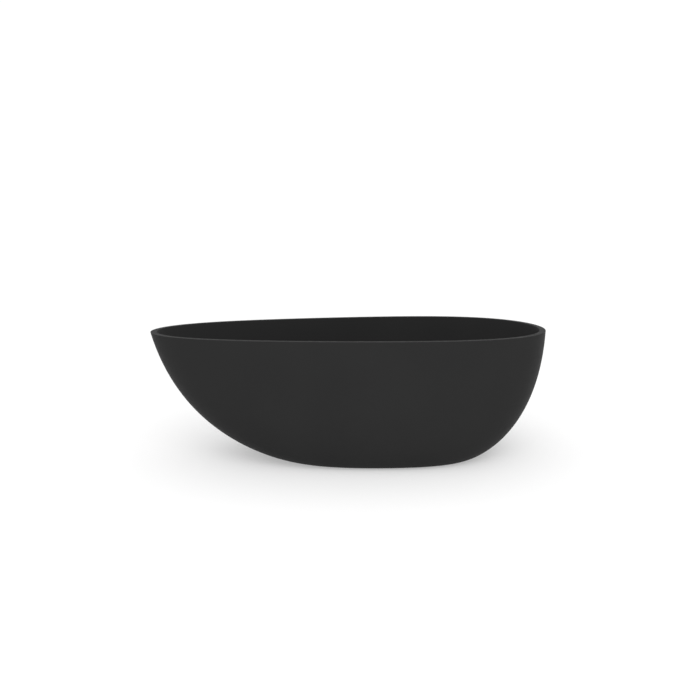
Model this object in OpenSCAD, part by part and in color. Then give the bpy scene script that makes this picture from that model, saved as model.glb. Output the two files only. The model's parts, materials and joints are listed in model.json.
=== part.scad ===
// Freestanding bathtub.
// A double-skin acrylic tub with an egg-shaped rim stands on a steel frame with four levelling feet.
// It has a push waste, a slim overflow and a shallow trap in the space between the skins.
// The origin is on the floor under the middle of the rim.
// +X points to the waste end, -X to the sloping head end, and +Z is up. Sizes are in millimetres.

/* [Tub] */
// Overall length at the rim
tub_l = 1700; // [1680:5:1720]
// Overall width at the rim
tub_w = 800; // [780:5:820]
// Height of the rim above the floor
tub_h = 550; // [540:5:570]
// Width of the flat rim
rim_w = 25; // [22:1:30]
// Depth of the rim's outer face
rim_d = 20; // [15:1:25]
// Height of the bath floor at its edge
floor_h = 140; // [138:1:145]
// Gap under the skirt, which the feet hold clear of the floor
skirt_gap = 2; // [1:0.5:4]

/* [Outline] */
// How much wider the waste end of the rim is than the head end
rim_lean = 0.19; // [0.15:0.01:0.22]
// How much wider the waste end of the footprint is
foot_lean = 0.08; // [0.04:0.01:0.12]
// How full the outline is towards its ends
fullness = 0.12; // [0.08:0.01:0.14]
// Reach of the footprint towards the head end
foot_head = 310; // [290:5:330]
// Reach of the footprint towards the waste end
foot_waste = 570; // [555:5:590]
// Width of the footprint as a share of the rim's
foot_share = 0.69; // [0.66:0.01:0.72]

/* [Skins] */
// Thickness of the outer skin
skin_t = 6; // [5:0.5:7]
// Thickness of the bath's wall
wall_t = 8; // [7:0.5:9]
// Width of the lip turned in at the foot of the skirt
lip_w = 25; // [20:1:28]

/* [Frame] */
// Width and height of the square steel tube
tube_w = 30; // [28:1:30]
// Wall of the square steel tube
tube_t = 2; // [1.5:0.5:3]
// Distance of each rail's centre line from the middle
rail_y = 130; // [125:1:132]
// Thickness of the board under the bath floor
board_t = 18; // [15:1:18]

/* [Feet] */
// How far a foot screws out
foot_travel = 20; // [10:1:20]
// Radius of the threaded stud
stud_r = 6; // [5:0.5:6]
// Radius of the pad
pad_r = 22; // [20:1:23]

/* [Waste] */
// Distance of the waste from the middle of the rim
waste_x = 470; // [455:5:475]
// How far the plug drops when it closes
plug_drop = 9; // [7:0.5:9]
// Height of the overflow's centre
overflow_z = 465; // [455:1:468]
// Radius of the outlet spigot
outlet_r = 20; // [19:0.5:20]

/* [Hidden] */
$fn = 64;

// Running clearance on the radius of a shaft in its hole
fit = 0.05;
// Loose clearance on the radius of a screw or a sleeve in its hole
slack = 0.2;
// Length by which a cut runs past a face
over = 1;

black = "#2b2c2d";
steel = "#9a9da1";
zinc = "#c3c6c9";
chrome = "#dfe3e6";
grey = "#8b8f92";
rubber = "#1b1b1b";

// Outlines are [head reach, waste reach, share of the rim's width, lean, height].
// A wall runs from its first outline to its last, and the two between them pull its curve.
ring_n = 80;
half_l = tub_l / 2;
skin_outlines = [
    [foot_head, foot_waste, foot_share, foot_lean, skirt_gap],
    [half_l - 415, half_l - 225, 0.86, foot_lean, 25],
    [half_l - 100, half_l - 10, 0.99, rim_lean, 140],
    [half_l, half_l, 1, rim_lean, tub_h]
];
bath_outlines = [
    [half_l - 380, half_l - 260, 0.60, foot_lean, floor_h],
    [half_l - 230, half_l - 160, 0.78, foot_lean, floor_h + 10],
    [half_l - 150, half_l - 90, 0.86, rim_lean, floor_h + 160]
];

function egg_y(t, lean) = sin(t) * (1 + lean * cos(t) + fullness * cos(2 * t));
egg_peak = max([for (i = [0:ring_n / 2]) egg_y(360 * i / ring_n, rim_lean)]);
egg_w = tub_w / 2 / egg_peak;

function egg(outline) = [
    for (i = [0:ring_n - 1])
        let (t = 360 * i / ring_n)
        [
            (outline[1] - outline[0]) / 2 + (outline[1] + outline[0]) / 2 * cos(t),
            egg_w * outline[2] * egg_y(t, outline[3]),
            outline[4]
        ]
];
function circle_ring(x, r, z) = [
    for (i = [0:ring_n - 1])
        let (t = 360 * i / ring_n)
        [x + r * cos(t), r * sin(t), z]
];
// Radius at the corners of a hexagon, from its width across the flats
function hex_r(flats) = flats / sqrt(3);

function at_height(ring, z) = [for (p = ring) [p.x, p.y, z]];
function along(ring, i) = ring[(i + 1) % ring_n] - ring[(i + ring_n - 1) % ring_n];
function inset(ring, d) = [
    for (i = [0:ring_n - 1])
        let (out = cross(along(ring, i), [0, 0, 1]))
        ring[i] - d * out / norm(out)
];
function bezier(p, u) =
    pow(1 - u, 3) * p[0] + 3 * u * pow(1 - u, 2) * p[1] + 3 * u * u * (1 - u) * p[2] + pow(u, 3) * p[3];

skin_rings = [for (o = skin_outlines) egg(o)];
rim_edge = skin_rings[3];
rim_inner = inset(rim_edge, rim_w);
bath_rings = [egg(bath_outlines[0]), egg(bath_outlines[1]), egg(bath_outlines[2]), rim_inner];
skin = function(u) bezier(skin_rings, u);
bath = function(u) bezier(bath_rings, u);

// The ring of a wall, moved square to the wall by d
function grown(wall, u, d) =
    let (ring = wall(u), up = wall(u + 0.01) - wall(u - 0.01))
    [
        for (i = [0:ring_n - 1])
            let (out = cross(along(ring, i), up[i]))
            ring[i] + d * out / norm(out)
    ];
// Where a wall reaches a height, by halving
function level(wall, z, low = 0, high = 1, steps = 24) =
    let (mid = (low + high) / 2)
    steps == 0 ? mid
        : wall(mid)[0].z < z ? level(wall, z, mid, high, steps - 1)
        : level(wall, z, low, mid, steps - 1);

// A solid through rings, each joined to the next. Caps close the first and last ring, or the loop closes.
module loft(rings, loop = false) {
    count = len(rings);
    last = loop ? count - 1 : count - 2;
    sides = [
        for (k = [0:last], i = [0:ring_n - 1])
            let (
                a = k * ring_n,
                b = ((k + 1) % count) * ring_n,
                j = (i + 1) % ring_n
            )
            each [[a + i, a + j, b + j], [a + i, b + j, b + i]]
    ];
    caps = loop ? [] : [
        [for (i = [ring_n - 1:-1:0]) i],
        [for (i = [0:ring_n - 1]) (count - 1) * ring_n + i]
    ];
    polyhedron([for (ring = rings) each ring], concat(sides, caps), convexity = 10);
}

// Skins

joint_z = tub_h - rim_d;
skin_top = level(skin, joint_z);
bath_top = level(bath, joint_z);
seat_z = floor_h - 6;
under_z = seat_z - wall_t;
seat_r = 48;
skin_steps = 12;
bath_steps = 11;

module outer_skin() {
    foot = skin(0);
    lip = inset(foot, lip_w);
    inside = [for (k = [0:skin_steps - 1]) grown(skin, skin_top * k / skin_steps, -skin_t)];
    outside = [for (k = [skin_steps:-1:0]) skin(skin_top * k / skin_steps)];
    rings = concat(
        [lip, at_height(lip, skirt_gap + skin_t)],
        inside,
        [at_height(grown(skin, skin_top, -skin_t), joint_z)],
        outside
    );
    color(black)
        difference() {
            loft(rings, loop = true);
            for (x = bracket_x, side = [-1, 1])
                translate([x, side * skirt_screw_y(x), 0])
                    cylinder(r = screw_r + slack, h = 3 * skin_t, center = true);
        }
}

module inner_bath() {
    inside = [for (k = [0:bath_steps]) bath(k / bath_steps)];
    outside = [for (k = [bath_steps - 1:-1:0]) grown(bath, bath_top * k / bath_steps, wall_t)];
    rings = concat(
        [circle_ring(waste_x, seat_r, seat_z)],
        inside,
        [
            rim_edge,
            skin(skin_top),
            at_height(grown(bath, bath_top, wall_t), joint_z)
        ],
        outside,
        [
            at_height(inset(bath(0), wall_t), under_z),
            circle_ring(waste_x, seat_r, under_z)
        ]
    );
    color(black)
        difference() {
            loft(rings);
            translate([waste_x, 0, under_z - over])
                cylinder(r = waste_hole_r, h = wall_t + 2 * over);
            at_overflow() {
                cylinder(r = overflow_neck_r, h = 4 * wall_t, center = true);
                translate([0, 0, -wall_t])
                    cylinder(r = overflow_seat_r, h = wall_t);
                translate([0, 0, overflow_wall])
                    cylinder(r = overflow_seat_r, h = wall_t);
            }
        }
}

// Paste that bonds the two skins under the rim
module bond_bead() {
    bead_d = 25;
    gap = 0.5;
    low = joint_z - bead_d;
    high = joint_z - gap;
    outer = skin_t + 3 * gap;
    inner = wall_t + 2 * gap;
    rings = [
        at_height(grown(bath, level(bath, low), inner), low),
        at_height(grown(bath, level(bath, high), inner), high),
        at_height(grown(skin, level(skin, high), -outer), high),
        at_height(grown(skin, level(skin, low), -outer), low)
    ];
    color("#6f7275")
        loft(rings, loop = true);
}

// Board and frame

board_z = under_z - board_t;
rail_top = board_z;
rail_bottom = rail_top - tube_w;
rail_x = [-330, 560];
bar_x = [-300, 40, 380];
bar_l = 2 * rail_y - tube_w;
board_cut_r = 60;
hose_notch = 50;
board_inset = 25;
screw_x = [-270, -20, 240, 520];
screw_r = 2;
bolt_r = 3;
board_screw_r = 3;
board_thread_r = 2.5;
board_thread_l = board_t - 5;
driver_hole_r = 8;
bracket_x = [-80, 130, 340];
bracket_w = 30;
bracket_t = 3;
plate_t = 5;

// Half the footprint's width at x
function foot_half(x) =
    let (t = acos((x - (foot_waste - foot_head) / 2) / ((foot_waste + foot_head) / 2)))
    egg_w * foot_share * egg_y(t, foot_lean);
function skirt_screw_y(x) = foot_half(x) - lip_w / 2;

module base_board() {
    outline = [for (p = inset(bath(0), board_inset)) [p.x, p.y]];
    color("#a98a62")
        translate([0, 0, board_z])
            difference() {
                linear_extrude(board_t)
                    difference() {
                        polygon(outline);
                        translate([waste_x, 0])
                            circle(r = board_cut_r);
                        translate([waste_x, -hose_notch / 2])
                            square([200, hose_notch]);
                    }
                for (x = screw_x, side = [-1, 1])
                    translate([x, side * rail_y, -over])
                        cylinder(r = board_thread_r + slack, h = board_thread_l + 2 * over);
            }
}

module square_tube(l) {
    translate([0, -tube_w / 2, 0])
        difference() {
            cube([l, tube_w, tube_w]);
            translate([-over, tube_t, tube_t])
                cube([l + 2 * over, tube_w - 2 * tube_t, tube_w - 2 * tube_t]);
        }
}

module rail(side) {
    color(steel)
        difference() {
            translate([rail_x[0], side * rail_y, rail_bottom])
                square_tube(rail_x[1] - rail_x[0]);
            for (x = screw_x)
                translate([x, side * rail_y, 0]) {
                    translate([0, 0, rail_bottom - over])
                        cylinder(r = driver_hole_r, h = tube_t + 2 * over);
                    translate([0, 0, rail_top - tube_t - over])
                        cylinder(r = board_screw_r + slack, h = tube_t + 2 * over);
                }
            for (p = foot_places)
                translate([p.x, side * rail_y, rail_bottom - over])
                    cylinder(r = stud_r + 2, h = tube_t + 2 * over);
            for (x = bracket_x)
                translate([x, side * (rail_y + tube_w / 2), rail_bottom + tube_w / 2])
                    rotate([side * 90, 0, 0])
                        cylinder(r = bolt_r + slack, h = 2 * tube_t + 2 * over, center = true);
        }
}

module rail_front() rail(-1);
module rail_back() rail(1);

module cross_bar(x) {
    color(steel)
        translate([x, -bar_l / 2, rail_bottom])
            rotate([0, 0, 90])
                square_tube(bar_l);
}

module cross_bar_head() cross_bar(bar_x[0]);
module cross_bar_middle() cross_bar(bar_x[1]);
module cross_bar_waste() cross_bar(bar_x[2]);

// Push-in caps in the open ends of the rails
module rail_caps() {
    cap_t = 3;
    plug_l = 12;
    plug_w = tube_w - 2 * tube_t - slack;
    color(rubber)
        for (end = [0, 1], side = [-1, 1])
            translate([rail_x[end], side * rail_y, rail_bottom + tube_w / 2])
                mirror([end, 0, 0]) {
                    translate([-cap_t, -tube_w / 2, -tube_w / 2])
                        cube([cap_t, tube_w, tube_w]);
                    translate([0, -plug_w / 2, -plug_w / 2])
                        cube([plug_l, plug_w, plug_w]);
                }
}

module foot_plates() {
    plate = [60, 46];
    color(steel)
        for (p = foot_places)
            translate([p.x, p.y, rail_bottom - plate_t])
                difference() {
                    translate([-plate.x / 2, -plate.y / 2, 0])
                        cube([plate.x, plate.y, plate_t]);
                    translate([0, 0, -over])
                        cylinder(r = stud_r + fit, h = plate_t + 2 * over);
                }
}

// Screws that hold the board down on the rails, with their heads inside the tubes
module board_screws() {
    head_r = 6;
    head_h = 4;
    color(zinc)
        for (x = screw_x, side = [-1, 1])
            translate([x, side * rail_y, rail_top - tube_t]) {
                translate([0, 0, -head_h])
                    cylinder(r = head_r, h = head_h);
                cylinder(r = board_screw_r, h = tube_t);
                translate([0, 0, tube_t])
                    cylinder(r = board_thread_r, h = board_thread_l);
            }
}

// Steel angles from the rails down to the lip of the skirt
module skirt_brackets() {
    lip_top = skirt_gap + skin_t;
    wall_y = rail_y + tube_w / 2;
    edge = 8;
    color(steel)
        for (x = bracket_x, side = [-1, 1])
            let (reach = skirt_screw_y(x) + edge - wall_y)
            mirror([0, (1 - side) / 2, 0])
                translate([x - bracket_w / 2, wall_y, lip_top])
                    difference() {
                        union() {
                            cube([bracket_w, reach, bracket_t]);
                            cube([bracket_w, bracket_t, rail_top - edge - lip_top]);
                        }
                        translate([bracket_w / 2, skirt_screw_y(x) - wall_y, -over])
                            cylinder(r = screw_r + slack, h = bracket_t + 2 * over);
                        translate([bracket_w / 2, -over, rail_bottom + tube_w / 2 - lip_top])
                            rotate([-90, 0, 0])
                                cylinder(r = bolt_r + slack, h = bracket_t + 2 * over);
                    }
}

module bracket_bolts() {
    wall_y = rail_y + tube_w / 2;
    head_h = 4;
    tip_l = 8;
    color(zinc)
        for (x = bracket_x, side = [-1, 1])
            mirror([0, (1 - side) / 2, 0])
                translate([x, wall_y + bracket_t, rail_bottom + tube_w / 2])
                    rotate([90, 0, 0]) {
                        translate([0, 0, -head_h])
                            cylinder(r = hex_r(10), h = head_h, $fn = 6);
                        cylinder(r = bolt_r, h = bracket_t + tube_t + tip_l);
                    }
}

module skirt_screws() {
    head_r = 5;
    head_h = 3;
    shank_l = skin_t + bracket_t - 1;
    color(zinc)
        for (x = bracket_x, side = [-1, 1])
            translate([x, side * skirt_screw_y(x), skirt_gap + 1]) {
                cylinder(r = screw_r, h = shank_l);
                translate([0, 0, shank_l])
                    cylinder(r = head_r, h = head_h);
            }
}

// Levelling feet

foot_x = [-190, 440];
foot_places = [for (x = foot_x, side = [-1, 1]) [x, side * rail_y]];
pad_h = 8;
boss_h = 14;
socket_z = 4;
stud_top = rail_bottom + foot_travel + 3;
stud_hex_h = 8;
nut_h = 10;

module foot_pad(i) {
    color(rubber)
        translate([foot_places[i].x, foot_places[i].y, 0])
            rotate_extrude()
                polygon([
                    [0, 0], [pad_r - 2, 0], [pad_r, 2], [pad_r, pad_h - 3], [pad_r - 3, pad_h],
                    [stud_r + 6, pad_h], [stud_r + 5, boss_h], [stud_r + fit, boss_h],
                    [stud_r + fit, socket_z], [0, socket_z]
                ]);
}

module foot_pad_1() foot_pad(0);
module foot_pad_2() foot_pad(1);
module foot_pad_3() foot_pad(2);
module foot_pad_4() foot_pad(3);

module foot_stud(i) {
    color(zinc)
        translate([foot_places[i].x, foot_places[i].y, 0]) {
            translate([0, 0, socket_z + fit])
                cylinder(r = stud_r, h = stud_top - socket_z - fit);
            translate([0, 0, boss_h + 3])
                cylinder(r = hex_r(17), h = stud_hex_h, $fn = 6);
        }
}

module foot_stud_1() foot_stud(0);
module foot_stud_2() foot_stud(1);
module foot_stud_3() foot_stud(2);
module foot_stud_4() foot_stud(3);

module lock_nuts() {
    color(zinc)
        for (p = foot_places)
            translate([p.x, p.y, rail_bottom - plate_t - nut_h])
                difference() {
                    cylinder(r = hex_r(19), h = nut_h, $fn = 6);
                    translate([0, 0, -over])
                        cylinder(r = stud_r + fit, h = nut_h + 2 * over);
                }
}

// Waste

waste_hole_r = 24;
flange_r = 35;
flange_h = 4;
tail_r = 22;
bore_r = 19;
gasket_t = 1.5;
under_gasket_t = 4;
flange_z = seat_z + gasket_t;
flange_top = flange_z + flange_h;
tail_z = flange_z - 30;
body_top = under_z - under_gasket_t;
body_bottom = body_top - 54;
thread_z = body_bottom + 14;
thread_r = 24;
branch_z = body_top - 28;
nipple_r = 7;
nipple_bore_r = 4;
hose_grip = 12;
seat_flange_r = 38;
seat_flange_h = 6;
hub_z = flange_z - 24;
hub_h = 8;
barrel_r = 7.5;

module ring(outer, inner, z, h) {
    translate([0, 0, z])
        difference() {
            cylinder(r = outer, h = h);
            translate([0, 0, -over])
                cylinder(r = inner, h = h + 2 * over);
        }
}

module waste_flange() {
    arm_w = 4;
    color(chrome)
        translate([waste_x, 0, 0]) {
            rotate_extrude()
                polygon([
                    [bore_r, tail_z], [tail_r, tail_z], [tail_r, flange_z], [flange_r, flange_z],
                    [flange_r, flange_z + 1.5], [flange_r - 3, flange_top], [30, flange_top],
                    [21, flange_z + 1], [bore_r, flange_z]
                ]);
            difference() {
                union() {
                    translate([0, 0, hub_z])
                        cylinder(r = barrel_r + 2.5, h = hub_h);
                    for (a = [0, 120, 240])
                        rotate([0, 0, a])
                            translate([barrel_r + 1, -arm_w / 2, hub_z])
                                cube([bore_r + 1 - barrel_r, arm_w, hub_h]);
                }
                translate([0, 0, hub_z - over])
                    cylinder(r = barrel_r + fit, h = hub_h + 2 * over);
            }
        }
}

module waste_gasket_top() {
    color(rubber)
        translate([waste_x, 0, 0])
            ring(flange_r - 2, waste_hole_r + 1, seat_z, gasket_t);
}

module waste_gasket_bottom() {
    color(rubber)
        translate([waste_x, 0, 0])
            ring(seat_flange_r, waste_hole_r + 2, body_top, under_gasket_t);
}

module waste_body() {
    body_r = 27;
    branch_r = 12;
    branch_l = 38;
    nipple_l = 42 + hose_grip;
    color(grey)
        translate([waste_x, 0, 0])
            difference() {
                union() {
                    translate([0, 0, body_top - seat_flange_h])
                        cylinder(r = seat_flange_r, h = seat_flange_h);
                    translate([0, 0, thread_z])
                        cylinder(r = body_r, h = body_top - seat_flange_h - thread_z);
                    translate([0, 0, body_bottom])
                        cylinder(r = thread_r, h = thread_z - body_bottom);
                    translate([0, 0, branch_z])
                        rotate([0, 90, 0]) {
                            cylinder(r = branch_r, h = branch_l);
                            cylinder(r = nipple_r, h = nipple_l);
                        }
                }
                translate([0, 0, body_bottom - over])
                    cylinder(r = bore_r, h = body_top - body_bottom + 2 * over);
                translate([0, 0, tail_z])
                    cylinder(r = tail_r + fit, h = body_top - tail_z + over);
                translate([0, 0, branch_z])
                    rotate([0, 90, 0])
                        cylinder(r = nipple_bore_r, h = nipple_l + over);
            }
}

// Push plug: cap, seal and stem drop together into the barrel against the spring

cap_r = 31;
cap_h = 5;
cap_z = flange_top + 0.5 + plug_drop;
stem_r = 4;
piston_r = 5.4;
piston_h = 4;
barrel_top = hub_z + hub_h + 6;
barrel_bottom = barrel_top - 34;
spring_base = barrel_bottom + 2;
// The spring's coils close up to this height when the plug is down
spring_solid = 4;
piston_z = spring_base + spring_solid + plug_drop;

module plug_cap() {
    rim_h = 2.5;
    dome = [for (a = [0:10:90]) [(cap_r - 2) * cos(a), rim_h + (cap_h - rim_h) * sin(a)]];
    color(chrome)
        translate([waste_x, 0, cap_z])
            rotate_extrude()
                polygon(concat([[0, 0], [cap_r - 1, 0], [cap_r, 1], [cap_r, rim_h]], dome));
}

module plug_seal() {
    seal_t = 1.7;
    color(rubber)
        translate([waste_x, 0, 0])
            ring(25, 21, cap_z - seal_t, seal_t);
}

module plug_stem() {
    neck_r = 8;
    neck_h = 4;
    color(zinc)
        translate([waste_x, 0, 0]) {
            translate([0, 0, piston_z])
                cylinder(r = piston_r, h = piston_h);
            translate([0, 0, piston_z + piston_h])
                cylinder(r = stem_r, h = cap_z - piston_z - piston_h);
            translate([0, 0, cap_z - neck_h])
                cylinder(r1 = stem_r, r2 = neck_r, h = neck_h);
        }
}

module plug_barrel() {
    roof_t = 2;
    color("#b8954a")
        translate([waste_x, 0, 0])
            difference() {
                translate([0, 0, barrel_bottom])
                    cylinder(r = barrel_r, h = barrel_top - barrel_bottom);
                translate([0, 0, spring_base])
                    cylinder(r = piston_r + fit, h = barrel_top - roof_t - spring_base);
                translate([0, 0, barrel_top - roof_t - over])
                    cylinder(r = stem_r + fit, h = roof_t + 2 * over);
            }
}

module plug_spring() {
    turns = 5;
    per_turn = 12;
    wire_r = 0.4;
    sides = 6;
    coil_r = 4.4;
    end_gap = 0.2;
    count = turns * per_turn;
    rise = piston_z - spring_base - 2 * (wire_r + end_gap);
    function at(k) = [
        coil_r * cos(360 * k / per_turn),
        coil_r * sin(360 * k / per_turn),
        rise * k / count
    ];
    function wire(k) =
        let (a = 360 * k / per_turn, out = [cos(a), sin(a), 0])
        [
            for (s = [0:sides - 1])
                let (b = 360 * s / sides)
                at(k) + wire_r * (cos(b) * out + sin(b) * [0, 0, 1])
        ];
    points = [for (k = [0:count]) each wire(k)];
    walls = [
        for (k = [0:count - 1], s = [0:sides - 1])
            let (a = k * sides, b = a + sides, t = (s + 1) % sides)
            each [[a + s, b + t, b + s], [a + s, a + t, b + t]]
    ];
    ends = [[for (s = [sides - 1:-1:0]) s], [for (s = [0:sides - 1]) count * sides + s]];
    color(zinc)
        translate([waste_x, 0, spring_base + wire_r + end_gap])
            polyhedron(points, concat(walls, ends), convexity = 10);
}

// Overflow, on the end wall above the waste. Its own +Z runs out through the wall and its +X down the wall.

overflow_r = 28;
overflow_neck_r = 18;
overflow_seat_r = overflow_r + 0.5;
overflow_wall = wall_t - 2;
overflow_u = level(bath, overflow_z);
overflow_point = bath(overflow_u)[0];
overflow_step = bath(overflow_u + 0.01)[0] - bath(overflow_u - 0.01)[0];
overflow_tilt = atan2(overflow_step.x, overflow_step.z);
pod_z = overflow_wall + 2;
pod_d = 20;
pod_wall = 3;
hose_offset = pod_z + 12.5;
hose_start = overflow_r + 14;

module at_overflow() {
    translate(overflow_point)
        rotate([0, 90 + overflow_tilt, 0])
            children();
}

gasket_front_t = 2;
cover_d = 9;
cover_hole_r = 2.6;

module overflow_cover() {
    lip = 2;
    slot_w = 10;
    slot_d = 4;
    color(chrome)
        at_overflow()
            translate([0, 0, -gasket_front_t - cover_d])
                difference() {
                    rotate_extrude()
                        polygon([
                            [cover_hole_r, 0], [overflow_r - lip, 0], [overflow_r, 1.5],
                            [overflow_r, cover_d], [overflow_r - lip, cover_d],
                            [overflow_r - lip, lip + 0.5], [cover_hole_r, lip + 0.5]
                        ]);
                    for (a = [-40, 0, 40])
                        rotate([0, 0, a])
                            translate([overflow_r - 3 * lip, -slot_w / 2, cover_d - slot_d])
                                cube([6 * lip, slot_w, slot_d + over]);
                }
}

module overflow_gasket_front() {
    color(rubber)
        at_overflow()
            ring(overflow_r, overflow_neck_r + 1, -gasket_front_t, gasket_front_t);
}

module overflow_gasket_back() {
    color(rubber)
        at_overflow()
            ring(overflow_r, overflow_neck_r + 1, overflow_wall, pod_z - overflow_wall);
}

module overflow_body() {
    boss_r = 6;
    boss_bore_r = cover_hole_r - fit;
    back = pod_z + pod_d;
    inner_r = overflow_r - pod_wall;
    screw_end = pod_z + 14;
    nipple_x = inner_r + 1;
    color(grey)
        at_overflow()
            difference() {
                union() {
                    rotate_extrude()
                        polygon([
                            [boss_bore_r, pod_z + 2], [boss_r, pod_z + 2], [boss_r, back - pod_wall],
                            [inner_r, back - pod_wall], [inner_r, pod_z], [overflow_r, pod_z],
                            [overflow_r, back], [0, back], [0, screw_end], [boss_bore_r, screw_end]
                        ]);
                    translate([nipple_x, 0, hose_offset])
                        rotate([0, 90, 0])
                            cylinder(r = nipple_r, h = hose_start + hose_grip - nipple_x);
                }
                translate([boss_r + 4, 0, hose_offset])
                    rotate([0, 90, 0])
                        cylinder(r = nipple_bore_r, h = hose_start + hose_grip);
            }
}

module overflow_screw() {
    head_h = 2.5;
    under_head = -gasket_front_t - cover_d;
    color(chrome)
        at_overflow() {
            translate([0, 0, under_head - head_h])
                cylinder(r1 = 4, r2 = 5, h = head_h);
            translate([0, 0, under_head])
                cylinder(r = cover_hole_r - 0.1, h = pod_z + 12 - under_head);
        }
}

// Flexible hose from the overflow to the waste, in the plane y = 0
hose_r = 10;
hose_bore = 7.6;
hose_sides = 12;
hose_steps = 26;
wall_down = [-sin(overflow_tilt), 0, -cos(overflow_tilt)];
wall_out = [cos(overflow_tilt), 0, -sin(overflow_tilt)];
hose_top = overflow_point + hose_start * wall_down + hose_offset * wall_out;
hose_end = [waste_x + 42, 0, branch_z];
hose_path = [hose_top, hose_top + 230 * wall_down, hose_end + [185, 0, 0], hose_end];

module overflow_hose() {
    function route(k) = bezier(hose_path, k / hose_steps);
    function heading(k) =
        let (d = route(k + 0.01) - route(k - 0.01))
        d / norm(d);
    function hoop(k, r) =
        let (d = heading(k), side = cross(d, [0, 1, 0]))
        [
            for (s = [0:hose_sides - 1])
                let (a = 360 * s / hose_sides)
                route(k) + r * (cos(a) * side + sin(a) * [0, 1, 0])
        ];
    outside = [for (k = [0:hose_steps]) each hoop(k, hose_r)];
    inside = [for (k = [hose_steps:-1:0]) each hoop(k, hose_bore)];
    hoops = 2 * (hose_steps + 1);
    faces = [
        for (k = [0:hoops - 1], s = [0:hose_sides - 1])
            let (a = k * hose_sides, b = ((k + 1) % hoops) * hose_sides, t = (s + 1) % hose_sides)
            each [[a + s, b + t, b + s], [a + s, a + t, b + t]]
    ];
    color("#d9dbdc")
        polyhedron(concat(outside, inside), faces, convexity = 10);
}

module hose_nuts() {
    nut_r = hose_r + 2.2;
    nut_bore = hose_r + 0.3;
    color(grey) {
        at_overflow()
            translate([hose_start - 1, 0, hose_offset])
                rotate([0, 90, 0])
                    ring(nut_r, nut_bore, 0, hose_grip);
        translate([hose_end.x - 1, 0, branch_z])
            rotate([0, 90, 0])
                ring(nut_r, nut_bore, 0, hose_grip);
    }
}

// Trap and outlet

washer_t = 3;
trap_top = body_bottom - washer_t;
collar_r = 29;
collar_h = 4;
trap_roof = trap_top - collar_h - 3;
trap_r = 40;
trap_wall = 3;
cup_z = 14;
cup_floor = 3;
wall_end = cup_z + cup_floor + 2;
small_r = 16;
outlet_z = trap_roof - small_r - 1;
rib_r = 4;
rib_angles = [0:30:330];

module trap_washer() {
    color(rubber)
        translate([waste_x, 0, 0])
            ring(thread_r, bore_r + 0.5, trap_top, washer_t);
}

module trap_nut() {
    nut_r = 33;
    nut_l = 20;
    low = trap_top - collar_h - 2.5;
    color(grey)
        translate([waste_x, 0, 0])
            difference() {
                translate([0, 0, low])
                    cylinder(r = nut_r, h = nut_l);
                translate([0, 0, low - over])
                    cylinder(r = thread_r + 1, h = 5);
                translate([0, 0, trap_top - collar_h - slack])
                    cylinder(r = collar_r + slack, h = collar_h + 2 * slack);
                translate([0, 0, trap_top])
                    cylinder(r = thread_r + fit, h = nut_l);
                for (a = rib_angles)
                    rotate([0, 0, a])
                        translate([nut_r + 2.5, 0, low - over])
                            cylinder(r = rib_r, h = nut_l + 2 * over);
            }
}

module trap_body() {
    neck_r = 24.5;
    dip_r = bore_r + 2.5;
    dip_z = cup_z + 16;
    outlet_start = -trap_r - 32;
    inner_r = trap_r - trap_wall;
    inner_roof = trap_roof - trap_wall;
    color(grey)
        translate([waste_x, 0, 0])
            difference() {
                union() {
                    rotate_extrude()
                        polygon([
                            [bore_r, trap_top], [collar_r, trap_top], [collar_r, trap_top - collar_h],
                            [neck_r, trap_top - collar_h], [neck_r, trap_roof], [trap_r, trap_roof],
                            [trap_r, wall_end], [inner_r, wall_end], [inner_r, inner_roof],
                            [dip_r, inner_roof], [dip_r, dip_z], [bore_r, dip_z]
                        ]);
                    difference() {
                        translate([outlet_start, 0, outlet_z])
                            rotate([0, 90, 0])
                                cylinder(r = small_r, h = 34);
                        cylinder(r = inner_r, h = trap_top);
                    }
                }
                translate([outlet_start - over, 0, outlet_z])
                    rotate([0, 90, 0])
                        cylinder(r = small_r - 2.5, h = 40 + over);
            }
}

module trap_cup() {
    cup_h = cup_floor + 5;
    color(grey)
        translate([waste_x, 0, 0])
            difference() {
                translate([0, 0, cup_z])
                    cylinder(r = trap_r + trap_wall + slack, h = cup_h);
                translate([0, 0, cup_z + cup_floor])
                    cylinder(r = trap_r + slack, h = cup_h);
                for (a = rib_angles)
                    rotate([0, 0, a])
                        translate([trap_r + 6, 0, cup_z - over])
                            cylinder(r = rib_r, h = cup_h + 2 * over);
            }
}

module trap_cup_seal() {
    color(rubber)
        translate([waste_x, 0, 0])
            ring(trap_r, trap_r - 3.5, cup_z + cup_floor, wall_end - cup_z - cup_floor);
}

outlet_x = waste_x - trap_r - 24;
outlet_bore_r = small_r + 0.1;

module outlet_nut() {
    nut_r = 22;
    nut_l = 14;
    color(grey)
        translate([outlet_x, 0, outlet_z])
            rotate([0, 90, 0])
                translate([0, 0, 3])
                    difference() {
                        cylinder(r = nut_r, h = nut_l);
                        translate([0, 0, -over])
                            cylinder(r = outlet_bore_r, h = nut_l + 2 * over);
                        for (a = rib_angles)
                            rotate([0, 0, a])
                                translate([nut_r + 2.5, 0, -over])
                                    cylinder(r = rib_r, h = nut_l + 2 * over);
                    }
}

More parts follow.
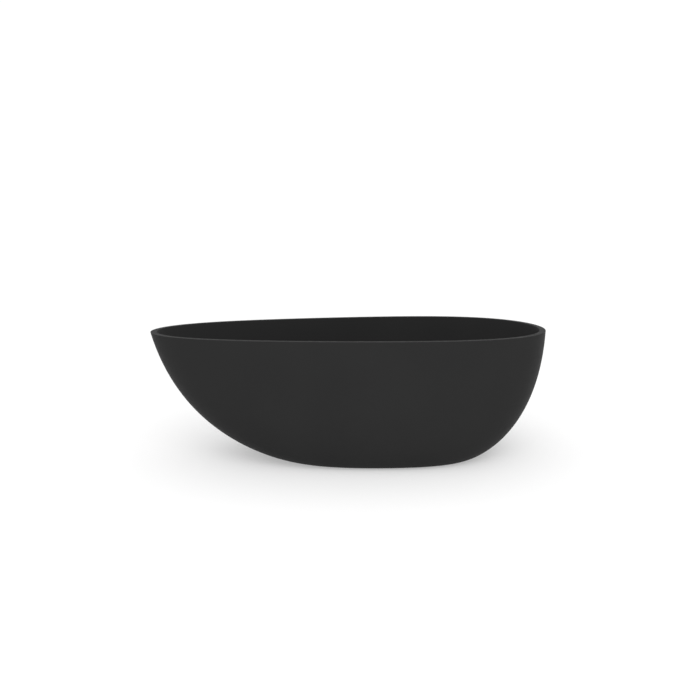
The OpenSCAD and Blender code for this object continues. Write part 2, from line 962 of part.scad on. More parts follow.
// Elbow that turns the outlet down to a spigot for a pipe in the floor
module outlet_elbow() {
    wall = 2.5;
    body_r = outlet_r + 2;
    body_below = 20;
    body_above = 21;
    socket_r = outlet_bore_r + wall;
    socket_d = 12;
    arm_l = 38;
    elbow_x = outlet_x + 2 - arm_l;
    spigot_z = 2;
    body_z = outlet_z - body_below;
    top_z = outlet_z + body_above;
    color(grey)
        translate([elbow_x, 0, 0])
            difference() {
                union() {
                    translate([0, 0, body_z])
                        cylinder(r = body_r, h = top_z - body_z);
                    translate([0, 0, spigot_z])
                        cylinder(r = outlet_r, h = body_z - spigot_z);
                    translate([0, 0, outlet_z])
                        rotate([0, 90, 0])
                            cylinder(r = socket_r, h = arm_l);
                }
                translate([0, 0, spigot_z - over])
                    cylinder(r = outlet_r - wall, h = top_z - wall - spigot_z + over);
                translate([0, 0, outlet_z])
                    rotate([0, 90, 0]) {
                        cylinder(r = small_r - wall, h = arm_l);
                        translate([0, 0, arm_l - socket_d])
                            cylinder(r = outlet_bore_r, h = socket_d + over);
                    }
            }
}

outer_skin();
inner_bath();
bond_bead();
base_board();
rail_front();
rail_back();
cross_bar_head();
cross_bar_middle();
cross_bar_waste();
rail_caps();
foot_plates();
board_screws();
skirt_brackets();
bracket_bolts();
skirt_screws();
foot_pad_1();
foot_pad_2();
foot_pad_3();
foot_pad_4();
foot_stud_1();
foot_stud_2();
foot_stud_3();
foot_stud_4();
lock_nuts();
waste_flange();
waste_gasket_top();
waste_gasket_bottom();
waste_body();
plug_cap();
plug_seal();
plug_stem();
plug_barrel();
plug_spring();
overflow_cover();
overflow_gasket_front();
overflow_gasket_back();
overflow_body();
overflow_screw();
overflow_hose();
hose_nuts();
trap_nut();
trap_washer();
trap_body();
trap_cup();
trap_cup_seal();
outlet_nut();
outlet_elbow();
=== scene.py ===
"""Looks for a freestanding bathtub: smooth skins, finished materials, a pale studio and a camera.

Everything is in metres, in the CAD model's frame: origin on the floor under the middle of the rim,
+X to the waste end, -X to the sloping head end, +Z up.
"""

import json
import math

import bmesh
import bpy
import numpy as np
from mathutils import Matrix, Vector


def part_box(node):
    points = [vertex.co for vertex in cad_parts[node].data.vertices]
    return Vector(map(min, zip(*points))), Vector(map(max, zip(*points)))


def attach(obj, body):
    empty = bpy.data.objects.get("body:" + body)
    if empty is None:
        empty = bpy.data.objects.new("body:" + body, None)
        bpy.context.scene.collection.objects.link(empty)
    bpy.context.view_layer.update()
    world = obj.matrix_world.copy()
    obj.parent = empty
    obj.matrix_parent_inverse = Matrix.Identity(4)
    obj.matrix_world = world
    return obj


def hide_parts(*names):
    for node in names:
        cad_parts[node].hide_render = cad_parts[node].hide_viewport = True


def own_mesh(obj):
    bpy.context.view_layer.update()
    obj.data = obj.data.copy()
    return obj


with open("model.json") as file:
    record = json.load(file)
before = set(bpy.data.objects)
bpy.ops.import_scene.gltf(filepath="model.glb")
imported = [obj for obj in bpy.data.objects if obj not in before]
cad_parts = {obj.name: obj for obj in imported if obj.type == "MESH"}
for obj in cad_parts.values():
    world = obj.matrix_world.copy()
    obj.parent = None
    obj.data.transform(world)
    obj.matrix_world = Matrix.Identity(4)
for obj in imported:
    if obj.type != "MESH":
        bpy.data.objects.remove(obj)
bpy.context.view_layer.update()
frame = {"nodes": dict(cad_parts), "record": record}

SCENE = bpy.context.scene
RECORD = frame["record"]

# Sizes of the tub, repeated from the CAD source where the frame doesn't give them
TUB_LOW, TUB_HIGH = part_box("inner_bath")
HALF_L = (TUB_HIGH.x - TUB_LOW.x) / 2
HALF_W = (TUB_HIGH.y - TUB_LOW.y) / 2
RIM_Z = TUB_HIGH.z
UNDER_Z = TUB_LOW.z
JOINT_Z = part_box("outer_skin")[1].z
SKIRT_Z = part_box("outer_skin")[0].z
RIM_W = 0.025
RIM_LEAN = 0.19
FOOT_LEAN = 0.08
FULLNESS = 0.12
FOOT_HEAD = 0.310
FOOT_WASTE = 0.570
FOOT_SHARE = 0.69
SKIN_T = 0.006
WALL_T = 0.008
LIP_W = 0.025
FLOOR_FALL = 0.006
EDGE_R = 0.002
WASTE_LOW, WASTE_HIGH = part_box("waste_flange")
WASTE_X = (WASTE_LOW.x + WASTE_HIGH.x) / 2
OVERFLOW_Z = 0.465
OVERFLOW_R = 0.028
OVERFLOW_NECK_R = 0.018
COVER_D = 0.009
GASKET_T = 0.002

AROUND = 320
TURN = np.linspace(0, 2 * math.pi, AROUND, endpoint=False)


# Outlines and walls


def egg_y(t, lean):
    """The half width of an egg at angle t, before scaling. A lean over 0 widens the waste end."""
    return np.sin(t) * (1 + lean * np.cos(t) + FULLNESS * np.cos(2 * t))


EGG_W = HALF_W / egg_y(np.linspace(0, math.pi, 2001), RIM_LEAN).max()


def egg(head, waste, share, lean, z):
    """A ring, from its reaches towards the head and waste ends.

    Share is its part of the rim's width, lean says how far its widest part lies from the middle.
    """
    x = (waste - head) / 2 + (waste + head) / 2 * np.cos(TURN)
    y = EGG_W * share * egg_y(TURN, lean)
    return np.stack([x, y, np.full(AROUND, z)], 1)


def circle(x, r, z):
    return np.stack([x + r * np.cos(TURN), r * np.sin(TURN), np.full(AROUND, z)], 1)


def unit(v):
    return v / np.linalg.norm(v, axis=-1, keepdims=True)


def along(ring):
    return np.roll(ring, -1, 0) - np.roll(ring, 1, 0)


def outward(ring):
    """The level direction square to a ring at each of its points."""
    return unit(np.cross(along(ring), [0, 0, 1]))


def at_height(ring, z):
    moved = ring.copy()
    moved[:, 2] = z
    return moved


class Wall:
    """A cubic curve from its first control to its last, which the two between them pull.

    The controls are rings for a wall, where u runs from 0 at the foot to 1 at the rim, and
    points for the hose.
    """

    def __init__(self, *rings):
        self.rings = rings

    def at(self, u):
        a, b, c, d = self.rings
        v = 1 - u
        return v**3 * a + 3 * u * v * v * b + 3 * u * u * v * c + u**3 * d

    def rise(self, u):
        """The direction of the curve at u."""
        a, b, c, d = self.rings
        v = 1 - u
        return unit(v * v * (b - a) + 2 * u * v * (c - b) + u * u * (d - c))

    def grown(self, u, d):
        """The ring at u, moved square to the wall by d."""
        ring = self.at(u)
        return ring + d * unit(np.cross(along(ring), self.rise(u)))

    def level(self, z):
        """The u at which the wall reaches height z."""
        low, high = 0.0, 1.0
        for _ in range(40):
            mid = (low + high) / 2
            if self.at(mid)[0, 2] < z:
                low = mid
            else:
                high = mid
        return (low + high) / 2


FLOOR_Z = UNDER_Z + WALL_T + FLOOR_FALL
RIM_EDGE = egg(HALF_L, HALF_L, 1, RIM_LEAN, RIM_Z)
RIM_INNER = RIM_EDGE - RIM_W * outward(RIM_EDGE)
SKIN = Wall(
    egg(FOOT_HEAD, FOOT_WASTE, FOOT_SHARE, FOOT_LEAN, SKIRT_Z),
    egg(HALF_L - 0.415, HALF_L - 0.225, 0.86, FOOT_LEAN, 0.025),
    egg(HALF_L - 0.100, HALF_L - 0.010, 0.99, RIM_LEAN, 0.140),
    RIM_EDGE,
)
BATH = Wall(
    egg(HALF_L - 0.380, HALF_L - 0.260, 0.60, FOOT_LEAN, FLOOR_Z),
    egg(HALF_L - 0.230, HALF_L - 0.160, 0.78, FOOT_LEAN, FLOOR_Z + 0.010),
    egg(HALF_L - 0.150, HALF_L - 0.090, 0.86, RIM_LEAN, FLOOR_Z + 0.160),
    RIM_INNER,
)


# The overflow's own frame: its origin on the bath's inner face, +Z out through the wall, +X down it
OVERFLOW_U = BATH.level(OVERFLOW_Z)
OVERFLOW_POINT = Vector(BATH.at(OVERFLOW_U)[0])
OVERFLOW_STEP = BATH.at(OVERFLOW_U + 0.01)[0] - BATH.at(OVERFLOW_U - 0.01)[0]
OVERFLOW_TILT = math.atan2(OVERFLOW_STEP[0], OVERFLOW_STEP[2])
AT_OVERFLOW = Matrix.Translation(OVERFLOW_POINT) @ Matrix.Rotation(math.pi / 2 + OVERFLOW_TILT, 4, "Y")
AT_WASTE = Matrix.Translation((WASTE_X, 0, 0))


# Mesh making


def new_object(name, vertices, faces):
    mesh = bpy.data.meshes.new(name)
    mesh.from_pydata([tuple(v) for v in vertices], [], faces)
    mesh.validate()
    mesh.update()
    made = bpy.data.objects.new(name, mesh)
    SCENE.collection.objects.link(made)
    return made


def face_outwards(made):
    """Turns the faces of a closed mesh outwards."""
    work = bmesh.new()
    work.from_mesh(made.data)
    bmesh.ops.recalc_face_normals(work, faces=work.faces)
    if work.calc_volume(signed=True) < 0:
        bmesh.ops.reverse_faces(work, faces=work.faces)
    work.to_mesh(made.data)
    work.free()


def smooth(made, sharp_above=35):
    """Smooth shading, with edges sharper than an angle in degrees kept crisp."""
    made.data.shade_smooth()
    made.data.set_sharp_from_angle(angle=math.radians(sharp_above))


def tube_faces(rings, per_ring, loop):
    """Quads that join each ring to the next, and the last to the first if it is a loop."""
    faces = []
    for k in range(rings if loop else rings - 1):
        a, b = k * per_ring, (k + 1) % rings * per_ring
        for i in range(per_ring):
            j = (i + 1) % per_ring
            faces.append((a + i, a + j, b + j, b + i))
    return faces


def loft(name, rings):
    """A closed ring-shaped solid through rings, whose last ring joins its first."""
    made = new_object(name, np.concatenate(rings), tube_faces(len(rings), AROUND, True))
    face_outwards(made)
    smooth(made)
    return made


def rounded(corner, before, after, r, steps=5):
    """Rings or points that turn a corner into a rounded edge, from one direction to the other."""
    return [corner + r * ((1 - s) ** 2 * before + s * s * after) for s in np.linspace(0, 1, steps + 1)]


def soft(corners):
    """A closed profile of points (radius, height) from corners that each carry the size of their rounding."""
    points = []
    for k, (x, z, cut) in enumerate(corners):
        here = np.array([x, z])
        if cut == 0:
            points.append(here)
            continue
        before = unit(np.array(corners[k - 1][:2]) - here)
        after = unit(np.array(corners[(k + 1) % len(corners)][:2]) - here)
        points += rounded(here, before, after, cut)
    return points


def lathe(profile, steps=96, six=()):
    """Vertices and faces of a profile turned about Z. Points numbered in six are drawn as hexagons."""
    vertices, faces, starts = [], [], []
    angles = np.linspace(0, 2 * math.pi, steps, endpoint=False)
    for k, (r, z) in enumerate(profile):
        starts.append(len(vertices))
        if r < 1e-7:
            vertices.append((0, 0, z))
            continue
        for a in angles:
            side = math.cos(math.pi / 6) / math.cos(a % (math.pi / 3) - math.pi / 6) if k in six else 1
            vertices.append((r * side * math.cos(a), r * side * math.sin(a), z))
    for k in range(len(profile)):
        n = (k + 1) % len(profile)
        pole, next_pole = profile[k][0] < 1e-7, profile[n][0] < 1e-7
        if pole and next_pole:
            continue
        for i in range(steps):
            j = (i + 1) % steps
            a, b, c, d = starts[k] + i, starts[k] + j, starts[n] + j, starts[n] + i
            if pole:
                faces.append((starts[k], c, d))
            elif next_pole:
                faces.append((a, b, starts[n]))
            else:
                faces.append((a, b, c, d))
    return vertices, faces


def turned(name, profile, place, steps=96, six=(), sharp_above=35):
    """A lathe-turned piece, set in place by a matrix."""
    made = new_object(name, *lathe(profile, steps, six))
    made.data.transform(place)
    face_outwards(made)
    smooth(made, sharp_above)
    return made


def join(name, pieces):
    """One object from closed pieces."""
    work = bmesh.new()
    for piece in pieces:
        work.from_mesh(piece.data)
        bpy.data.objects.remove(piece)
    made = new_object(name, [], [])
    work.to_mesh(made.data)
    work.free()
    return made


def block(name, low, high, place, edge=0.0004):
    """A small block with bevelled edges."""
    corners = [(x, y, z) for z in (low[2], high[2]) for y in (low[1], high[1]) for x in (low[0], high[0])]
    quads = [(0, 2, 3, 1), (4, 5, 7, 6), (0, 1, 5, 4), (2, 6, 7, 3), (0, 4, 6, 2), (1, 3, 7, 5)]
    made = new_object(name, corners, quads)
    work = bmesh.new()
    work.from_mesh(made.data)
    bmesh.ops.bevel(work, geom=work.edges[:], offset=edge, segments=2, affect="EDGES")
    work.to_mesh(made.data)
    work.free()
    made.data.transform(place)
    face_outwards(made)
    smooth(made)
    return made


def cut(made, cutter):
    """Takes the cutter out of an object and removes the cutter."""
    modifier = made.modifiers.new("cut", "BOOLEAN")
    modifier.operation = "DIFFERENCE"
    modifier.solver = "EXACT"
    modifier.object = cutter
    bpy.context.view_layer.update()
    ready = made.evaluated_get(bpy.context.evaluated_depsgraph_get())
    mesh = bpy.data.meshes.new_from_object(ready)
    made.modifiers.clear()
    made.data = mesh
    bpy.data.objects.remove(cutter)
    smooth(made)


# Skins


def make_outer_skin():
    """One skin down the outside, round the lip at the foot, and up again behind."""
    top = SKIN.level(JOINT_Z)
    foot = SKIN.at(0)
    lip = foot - LIP_W * outward(foot)
    outside = [SKIN.at(u) for u in np.linspace(top, 0, 97)]
    inside = [SKIN.grown(u, -SKIN_T) for u in np.linspace(0, top, 33)]
    inside[-1] = at_height(inside[-1], JOINT_Z)
    rings = outside + [lip, at_height(lip, SKIRT_Z + SKIN_T)] + inside
    made = loft("outer_skin_smooth", rings)
    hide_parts("outer_skin")
    return made


def make_inner_bath():
    """One skin from the waste hole up the inside, over the rim, and down again behind."""
    hole_r = 0.024
    seat_r = 0.048
    seat_z = UNDER_Z + WALL_T
    floor_steps = 28
    seat = circle(WASTE_X, seat_r, seat_z)
    edge = BATH.at(0)

    rings = [circle(WASTE_X, hole_r, seat_z - 0.001), circle(WASTE_X, hole_r + 0.001, seat_z)]
    rings += [circle(WASTE_X, r, seat_z) for r in np.linspace(hole_r + 0.004, seat_r, 6)]
    for s in np.linspace(0, 1, floor_steps + 1)[1:-1]:
        rings.append(seat + s * (edge - seat))
    rim_start = BATH.level(RIM_Z - EDGE_R)
    rings += [BATH.at(u) for u in np.linspace(0, rim_start, 97)[:-1]]

    out = outward(RIM_EDGE)
    rings += rounded(RIM_INNER, -BATH.rise(1), out, EDGE_R)
    rings += [RIM_INNER + s * (RIM_EDGE - RIM_INNER) for s in (0.3, 0.5, 0.7)]
    rings += rounded(RIM_EDGE, -out, -SKIN.rise(1), EDGE_R)
    top = SKIN.level(JOINT_Z)
    rings += [SKIN.at(u) for u in np.linspace(SKIN.level(RIM_Z - 2 * EDGE_R), top, 6)]

    under = BATH.level(JOINT_Z)
    back = [BATH.grown(u, WALL_T) for u in np.linspace(under, 0, 49)]
    base = BATH.at(0) - WALL_T * outward(BATH.at(0))
    rings += [at_height(back[0], JOINT_Z)] + back[1:]
    rings += [at_height(base, UNDER_Z), circle(WASTE_X, hole_r, UNDER_Z)]
    made = loft("inner_bath_smooth", rings)

    cutout_r = OVERFLOW_R + 0.0005
    neck_end = WALL_T - GASKET_T
    hole = [
        (0, -WALL_T), (cutout_r, -WALL_T), (cutout_r, 0), (OVERFLOW_NECK_R, 0),
        (OVERFLOW_NECK_R, neck_end), (cutout_r, neck_end), (cutout_r, 2 * WALL_T), (0, 2 * WALL_T),
    ]
    cut(made, turned("hole", hole, AT_OVERFLOW))
    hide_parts("inner_bath")
    return made


# Waste and overflow


def make_waste_flange():
    """A dished, polished flange on its threaded tail, with a three-armed holder for the plug."""
    low, high = WASTE_LOW.z, WASTE_HIGH.z
    under = high - 0.004
    bore, tail, lip = 0.019, 0.022, (WASTE_HIGH.x - WASTE_LOW.x) / 2
    hub_r, hub_bore, hub_z, hub_h = 0.010, 0.00755, under - 0.024, 0.008
    arm_w = 0.004
    body = turned(
        "body",
        soft([
            (bore, low, 0.0003), (tail, low, 0.0006), (tail, under, 0), (lip, under, 0.0002),
            (lip, under + 0.0015, 0.0008), (lip - 0.003, high, 0.0015), (0.030, high, 0.0012),
            (0.021, under + 0.001, 0.0015), (bore, under, 0.0008),
        ]),
        AT_WASTE, 128,
    )
    hub = turned(
        "hub",
        soft([(hub_bore, 0, 0.0003), (hub_r, 0, 0.0005), (hub_r, hub_h, 0.0008), (hub_bore, hub_h, 0.0005)]),
        AT_WASTE @ Matrix.Translation((0, 0, hub_z)),
    )
    arms = [
        block(
            "arm",
            (hub_r - 0.001, -arm_w / 2, hub_z + 0.0005),
            (bore + 0.001, arm_w / 2, hub_z + hub_h - 0.0005),
            AT_WASTE @ Matrix.Rotation(k * 2 * math.pi / 3, 4, "Z"),
        )
        for k in range(3)
    ]
    made = join("waste_flange_polished", [body, hub, *arms])
    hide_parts("waste_flange")
    return made


def make_plug_cap():
    """A low dome on a flat brim."""
    low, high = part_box("plug_cap")
    r = (high.x - low.x) / 2
    tall = high.z - low.z
    brim, brim_h = 0.002, tall / 2
    dome = [
        ((r - brim) * math.cos(a), brim_h + (tall - brim_h) * math.sin(a))
        for a in np.linspace(math.radians(12), math.pi / 2, 20)
    ]
    profile = [(0, 0), (0.6 * r, 0), (r - 0.0012, 0), (r - 0.0004, 0.0003), (r, 0.0011)]
    profile += [(r, brim_h - 0.0007), (r - 0.0003, brim_h - 0.0001), (r - 0.0009, brim_h)]
    profile += [(r - brim + 0.0001, brim_h + 0.0001), *dome]
    made = turned("plug_cap_polished", profile, AT_WASTE @ Matrix.Translation((0, 0, low.z)), 128, (), 50)
    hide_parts("plug_cap")
    return made


def make_plug_spring():
    """A fine coil."""
    low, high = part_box("plug_spring")
    wire, turns, per_turn, sides = 0.0004, 5, 32, 10
    coil = (high.x - low.x) / 2 - wire
    count = turns * per_turn
    points = []
    for k in range(count + 1):
        a = 2 * math.pi * k / per_turn
        out = np.array([math.cos(a), math.sin(a), 0])
        middle = coil * out + [WASTE_X, 0, low.z + wire + (high.z - low.z - 2 * wire) * k / count]
        for b in np.linspace(0, 2 * math.pi, sides, endpoint=False):
            points.append(middle + wire * (math.cos(b) * out + math.sin(b) * np.array([0, 0, 1])))
    ends = [tuple(range(sides)), tuple(range(count * sides, (count + 1) * sides))]
    made = new_object("plug_spring_coil", points, tube_faces(count + 1, sides, False) + ends)
    face_outwards(made)
    smooth(made, 60)
    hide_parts("plug_spring")
    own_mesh(made)
    return made


def make_overflow_cover():
    """A round cover with a soft front edge, and three slots in its lower edge for the water."""
    r, skin, hole_r = OVERFLOW_R, 0.002, 0.0026
    slot_w, slot_d = 0.010, 0.004
    front = AT_OVERFLOW @ Matrix.Translation((0, 0, -GASKET_T - COVER_D))
    made = turned(
        "overflow_cover_polished",
        soft([
            (hole_r, 0.0003, 0), (0.006, 0.0003, 0.0002), (0.0075, 0, 0.0008), (r, 0, 0.0032),
            (r, COVER_D, 0.0004), (r - skin, COVER_D, 0.0004), (r - skin, 0.0025, 0.001), (hole_r, 0.0025, 0),
        ]),
        front, 144,
    )
    for angle in (-40, 0, 40):
        place = front @ Matrix.Rotation(math.radians(angle), 4, "Z")
        low = (r - 3 * skin, -slot_w / 2, COVER_D - slot_d)
        high = (r + 3 * skin, slot_w / 2, COVER_D + 2 * skin)
        cut(made, block("slot", low, high, place, 0.0012))
    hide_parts("overflow_cover")
    return made


def make_overflow_screw():
    """A low-headed screw with a hexagon socket."""
    head_h = 0.0025
    head = -GASKET_T - COVER_D - head_h
    shank, shank_end = 0.0025, 0.0200
    socket = 0.0016
    profile = [(0, head + 0.0014), (socket, head + 0.0014), (socket, head + 0.0001), (socket + 0.0003, head)]
    profile += [(0.0036, head), (0.0044, head + 0.0004), (0.0049, head + 0.0014), (0.0050, head + head_h)]
    profile += [(shank, head + head_h), (shank, 0.0196), (shank - 0.0006, shank_end), (0, shank_end)]
    made = turned("overflow_screw_polished", profile, AT_OVERFLOW, 48, (1, 2, 3))
    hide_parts("overflow_screw")
    return made


def make_hose():
    """A ribbed overflow hose on one smooth curve, from the overflow's nozzle round to the waste's."""
    r, bore, grip, pitch, rib = 0.010, 0.0076, 0.012, 0.006, 0.0009
    around, per_rib, inside_hoops, length_samples = 24, 5, 81, 801
    branch_reach = 0.042
    start_down, start_out = OVERFLOW_R + 0.014, 0.0205
    reach_down, reach_in = 0.230, 0.185
    branch_z = UNDER_Z - 0.032
    turn = np.array(AT_OVERFLOW.to_3x3())
    down, out = turn[:, 0], turn[:, 2]
    across = np.array([0.0, 1.0, 0.0])
    top = np.array(OVERFLOW_POINT) + start_down * down + start_out * out
    end = np.array([WASTE_X + branch_reach, 0, branch_z])
    path = Wall(top, top + reach_down * down, end + [reach_in, 0, 0], end)

    steps = np.linspace(0, 1, length_samples)
    gaps = np.diff([path.at(u) for u in steps], axis=0)
    gone = np.concatenate([[0], np.cumsum(np.linalg.norm(gaps, axis=1))])
    ribs = round((gone[-1] - 2 * grip) / pitch)
    places = np.concatenate([[0], np.linspace(grip, gone[-1] - grip, ribs * per_rib + 1), [gone[-1]]])
    angles = np.linspace(0, 2 * math.pi, around, endpoint=False)[:, None]

    def hoop(s, size):
        u = np.interp(s, gone, steps)
        side = np.cross(across, path.rise(u))
        return path.at(u) + size * (np.cos(angles) * side + np.sin(angles) * across)

    def size(s):
        wave = (s - grip) / (gone[-1] - 2 * grip) * ribs
        return r - rib * (1 - math.cos(2 * math.pi * wave)) / 2 if 0 < wave < ribs else r

    hoops = [hoop(s, size(s)) for s in places]
    hoops += [hoop(s, bore) for s in np.linspace(gone[-1], 0, inside_hoops)]
    made = new_object("overflow_hose_ribbed", np.concatenate(hoops), tube_faces(len(hoops), around, True))
    face_outwards(made)
    smooth(made, 60)
    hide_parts("overflow_hose")
    return made


# Materials


def shader(name, colour, roughness, metallic=0.0, **sockets):
    """A material with one Principled shader. Returns the material, its nodes, links and shader."""
    material = bpy.data.materials.new(name)
    material.use_nodes = True
    nodes, links = material.node_tree.nodes, material.node_tree.links
    principled = nodes["Principled BSDF"]
    principled.inputs["Base Color"].default_value = (*colour, 1)
    principled.inputs["Roughness"].default_value = roughness
    principled.inputs["Metallic"].default_value = metallic
    for socket, value in sockets.items():
        principled.inputs[socket.replace("_", " ")].default_value = value
    return material, nodes, links, principled


def noise(nodes, links, scale, detail=4.0, stretch=(1, 1, 1)):
    """A noise texture in object space, whose scale is per metre. Returns its value from 0 to 1."""
    place = nodes.new("ShaderNodeTexCoord")
    mapping = nodes.new("ShaderNodeMapping")
    mapping.inputs["Scale"].default_value = stretch
    texture = nodes.new("ShaderNodeTexNoise")
    texture.inputs["Scale"].default_value = scale
    texture.inputs["Detail"].default_value = detail
    links.new(place.outputs["Object"], mapping.inputs["Vector"])
    links.new(mapping.outputs["Vector"], texture.inputs["Vector"])
    return texture.outputs["Fac"]


def spread(nodes, links, value, low, high, from_low=0.3, from_high=0.7):
    """A value between low and high."""
    node = nodes.new("ShaderNodeMapRange")
    node.inputs["From Min"].default_value = from_low
    node.inputs["From Max"].default_value = from_high
    node.inputs["To Min"].default_value = low
    node.inputs["To Max"].default_value = high
    links.new(value, node.inputs["Value"])
    return node.outputs["Result"]


def two_colours(nodes, links, value, first, second, from_low=0.35, from_high=0.65):
    """A colour between two, as a value runs between two limits."""
    ramp = nodes.new("ShaderNodeValToRGB")
    ramp.color_ramp.elements[0].position = from_low
    ramp.color_ramp.elements[1].position = from_high
    ramp.color_ramp.elements[0].color = (*first, 1)
    ramp.color_ramp.elements[1].color = (*second, 1)
    links.new(value, ramp.inputs["Fac"])
    return ramp.outputs["Color"]


def bump(nodes, links, principled, value, height, strength=1.0):
    """Grain in the surface, from a value and the height that it stands for."""
    node = nodes.new("ShaderNodeBump")
    node.inputs["Strength"].default_value = strength
    node.inputs["Distance"].default_value = height
    links.new(value, node.inputs["Height"])
    links.new(node.outputs["Normal"], principled.inputs["Normal"])


def matte_acrylic():
    """Black acrylic with a fine matte grain and a very faint change of tone."""
    made, nodes, links, principled = shader(
        "matte_acrylic", (0.023, 0.023, 0.023), 0.5, Specular_IOR_Level=0.015
    )
    cloud = noise(nodes, links, 3.0, 5.0)
    tint = two_colours(nodes, links, cloud, (0.0222, 0.0222, 0.0223), (0.0238, 0.0238, 0.0238))
    links.new(tint, principled.inputs["Base Color"])
    sheen = noise(nodes, links, 45.0, 6.0)
    links.new(spread(nodes, links, sheen, 0.46, 0.54), principled.inputs["Roughness"])
    bump(nodes, links, principled, noise(nodes, links, 1400.0, 3.0), 0.00002, 0.35)
    return made


def simple(name, colour, roughness, grain, height, metallic=0.0, change=0.12, stretch=(1, 1, 1)):
    """A finish with a little variation in colour and roughness, and a fine grain."""
    made, nodes, links, principled = shader(name, colour, roughness, metallic)
    low = [c * (1 - change) for c in colour]
    high = [min(1.0, c * (1 + change)) for c in colour]
    cloud = noise(nodes, links, grain / 8, 4.0, stretch)
    links.new(two_colours(nodes, links, cloud, low, high), principled.inputs["Base Color"])
    sheen = noise(nodes, links, grain / 3, 5.0, stretch)
    links.new(
        spread(nodes, links, sheen, roughness * 0.85, roughness * 1.15), principled.inputs["Roughness"]
    )
    bump(nodes, links, principled, noise(nodes, links, grain, 4.0, stretch), height, 0.5)
    return made


def galvanised():
    """Zinc-coated steel with a faint spangle."""
    made, nodes, links, principled = shader("galvanised", (0.45, 0.46, 0.47), 0.42, 1.0)
    place = nodes.new("ShaderNodeTexCoord")
    cells = nodes.new("ShaderNodeTexVoronoi")
    cells.inputs["Scale"].default_value = 160.0
    links.new(place.outputs["Object"], cells.inputs["Vector"])
    grey = nodes.new("ShaderNodeSeparateColor")
    links.new(cells.outputs["Color"], grey.inputs["Color"])
    tint = two_colours(nodes, links, grey.outputs["Red"], (0.36, 0.37, 0.38), (0.55, 0.56, 0.57), 0.0, 1.0)
    links.new(tint, principled.inputs["Base Color"])
    gloss = spread(nodes, links, grey.outputs["Green"], 0.32, 0.52, 0.0, 1.0)
    links.new(gloss, principled.inputs["Roughness"])
    bump(nodes, links, principled, noise(nodes, links, 500.0), 0.00003, 0.4)
    return made


def plywood():
    """Plywood with its grain along X."""
    made, nodes, links, principled = shader("plywood", (0.42, 0.28, 0.15), 0.7)
    grain = noise(nodes, links, 60.0, 8.0, (0.08, 1, 1))
    links.new(
        two_colours(nodes, links, grain, (0.30, 0.185, 0.09), (0.52, 0.36, 0.20)),
        principled.inputs["Base Color"],
    )
    links.new(spread(nodes, links, grain, 0.62, 0.8), principled.inputs["Roughness"])
    bump(nodes, links, principled, grain, 0.0003, 0.6)
    return made


def polished():
    """Chrome with very faint wiping marks in its gloss."""
    made, nodes, links, principled = shader("polished", (0.78, 0.79, 0.80), 0.07, 1.0)
    marks = noise(nodes, links, 220.0, 6.0, (1, 6, 1))
    links.new(spread(nodes, links, marks, 0.05, 0.11), principled.inputs["Roughness"])
    bump(nodes, links, principled, noise(nodes, links, 900.0), 0.000004, 0.3)
    return made


def make_materials():
    """One material a slot.

    After its colour, simple takes roughness, grain per metre, grain height, metal share and
    change of tone.
    """
    return {
        "tub_acrylic": matte_acrylic(),
        "bond_paste": simple("paste", (0.16, 0.17, 0.18), 0.8, 240, 0.0008),
        "board_wood": plywood(),
        "frame_steel": galvanised(),
        "zinc_steel": simple("zinc", (0.60, 0.60, 0.62), 0.32, 700, 0.00003, 1.0, 0.06),
        "black_plastic": simple("black_plastic", (0.02, 0.02, 0.021), 0.55, 1500, 0.00006),
        "rubber_seal": simple("rubber", (0.015, 0.015, 0.015), 0.8, 1100, 0.00008),
        "polished_chrome": polished(),
        "barrel_brass": simple("brass", (0.60, 0.42, 0.16), 0.28, 900, 0.00002, 1.0, 0.08),
        "spring_steel": simple("spring", (0.50, 0.50, 0.51), 0.3, 1200, 0.00002, 1.0, 0.06),
        "hose_plastic": simple("hose", (0.62, 0.63, 0.64), 0.4, 500, 0.00005, 0.0, 0.04),
        "grey_plastic": simple("grey_plastic", (0.22, 0.24, 0.25), 0.42, 900, 0.00006, 0.0, 0.05),
    }


def dress(made, slot, materials, body="tub"):
    """Gives a piece the material of its slot, and the body that it belongs to."""
    made.data.materials.clear()
    made.data.materials.append(materials[slot])
    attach(made, body)


# Studio


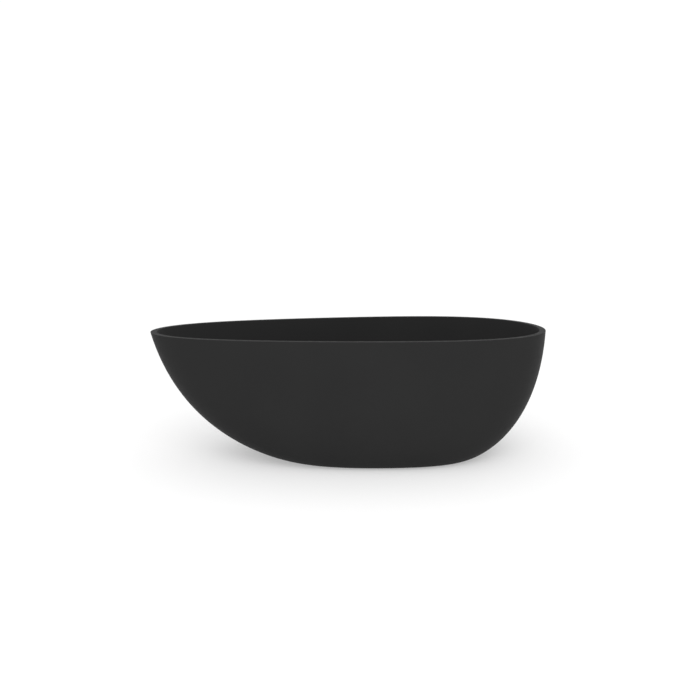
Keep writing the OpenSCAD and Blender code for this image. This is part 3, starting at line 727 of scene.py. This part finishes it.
def make_camera():
    """The photo's camera, fitted to the outline of the tub and its rim."""
    turn = math.radians(4.878)
    tilt = math.radians(10.144)
    distance = 2.6727
    above_rim = 0.3804
    sideways = 0.0019
    lens = 31.74
    across = Vector((math.cos(turn), -math.sin(turn), 0))
    ahead = Vector((math.sin(turn), math.cos(turn), 0))
    data = bpy.data.cameras.new("camera")
    data.sensor_width = 36
    data.lens = lens
    camera = bpy.data.objects.new("camera", data)
    camera.location = Vector((0, 0, RIM_Z + above_rim)) - distance * ahead - sideways * across
    look = math.cos(tilt) * ahead - Vector((0, 0, math.sin(tilt)))
    camera.rotation_euler = look.to_track_quat("-Z", "Y").to_euler()
    SCENE.collection.objects.link(camera)
    SCENE.camera = camera


def area_light(name, place, aim, size, power):
    data = bpy.data.lights.new(name, "AREA")
    data.shape = "RECTANGLE"
    data.size, data.size_y = size
    data.energy = power
    lamp = bpy.data.objects.new(name, data)
    lamp.location = place
    lamp.rotation_euler = (Vector(aim) - Vector(place)).to_track_quat("-Z", "Y").to_euler()
    lamp.visible_camera = False
    SCENE.collection.objects.link(lamp)


def make_studio():
    """A pale floor under one softbox. The floor glows faintly, which lightens its shadows."""
    half = 30.0
    floor_glow = 0.37
    world_strength = 1.04
    box_place, box_aim, box_size, box_watts = (0.0, -3.0, 3.0), (0, 0, 0.2), (3.5, 2.0), 45
    floor = new_object(
        "floor", [(-half, -half, 0), (half, -half, 0), (half, half, 0), (-half, half, 0)], [(0, 1, 2, 3)]
    )
    material, _, _, principled = shader(
        "studio_floor", (0.62, 0.62, 0.62), 0.9, Specular_IOR_Level=0.1, Emission_Strength=floor_glow
    )
    principled.inputs["Emission Color"].default_value = (1, 1, 1, 1)
    floor.data.materials.append(material)

    world = bpy.data.worlds.new("studio")
    world.use_nodes = True
    background = world.node_tree.nodes["Background"]
    background.inputs["Color"].default_value = (1, 1, 1, 1)
    background.inputs["Strength"].default_value = world_strength
    SCENE.world = world
    area_light("softbox", box_place, box_aim, box_size, box_watts)
    SCENE.view_settings.view_transform = "Standard"
    SCENE.view_settings.look = "None"


make_camera()
make_studio()
materials = make_materials()
for part in RECORD["subparts"]:
    node = frame["nodes"][part["node"]]
    node.data.materials.clear()
    node.data.materials.append(materials[part["material_slot"]])
dress(make_outer_skin(), "tub_acrylic", materials)
dress(make_inner_bath(), "tub_acrylic", materials)
dress(make_waste_flange(), "polished_chrome", materials)
dress(make_plug_cap(), "polished_chrome", materials, "plug")
dress(make_plug_spring(), "spring_steel", materials)
dress(make_overflow_cover(), "polished_chrome", materials)
dress(make_overflow_screw(), "polished_chrome", materials)
dress(make_hose(), "hose_plastic", materials)
